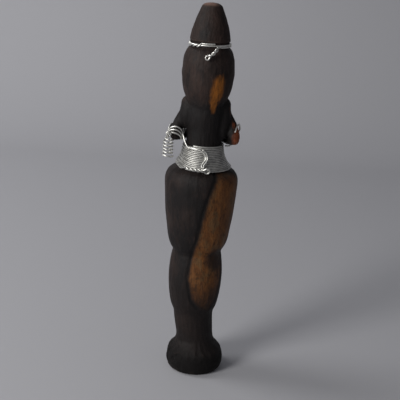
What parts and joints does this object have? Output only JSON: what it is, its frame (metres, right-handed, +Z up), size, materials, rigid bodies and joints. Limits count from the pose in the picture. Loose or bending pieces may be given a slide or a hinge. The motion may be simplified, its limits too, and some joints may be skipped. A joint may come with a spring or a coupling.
{
  "type": "carved fertility doll",
  "caption": "Slim standing doll carved from dark wood, with a conical hat, folded arms, full thighs and a round foot block, wound with soft aluminium wire at head, waist and forearms",
  "frame": {"origin": "on the floor, under the middle of the whole outline", "axes": "+Z up along the figure, the face looks towards +Y and the back towards -Y, +X is the figure's own right"},
  "size_m": [0.0568, 0.054, 0.28],
  "materials": {
    "carved_wood": "knife carved and smoke darkened, with paler red-brown sapwood showing through",
    "aluminium_wire": "soft drawn wire, dull and lightly scuffed"
  },
  "bodies": {
    "figure": {"carved_figure": "carved_wood", "waist_wire": "aluminium_wire", "arm_wire": "aluminium_wire", "right_arm_wire": "aluminium_wire"},
    "head_wire": {"head_wire": "aluminium_wire"},
    "arm_coil": {"arm_coil": "aluminium_wire"}
  },
  "joints": [
    {"name": "head_wire_turn", "type": "hinge", "parent": "figure", "child": "head_wire", "pos_m": [0.00125, 0, 0.252], "axis": [0, 0, 1], "range_deg": [-25, 25]},
    {"name": "coil_swing", "type": "hinge", "parent": "figure", "child": "arm_coil", "pos_m": [-0.02425, -0.0109, 0.187], "axis": [0, 1, 0], "range_deg": [-3, 80]}
  ]
}
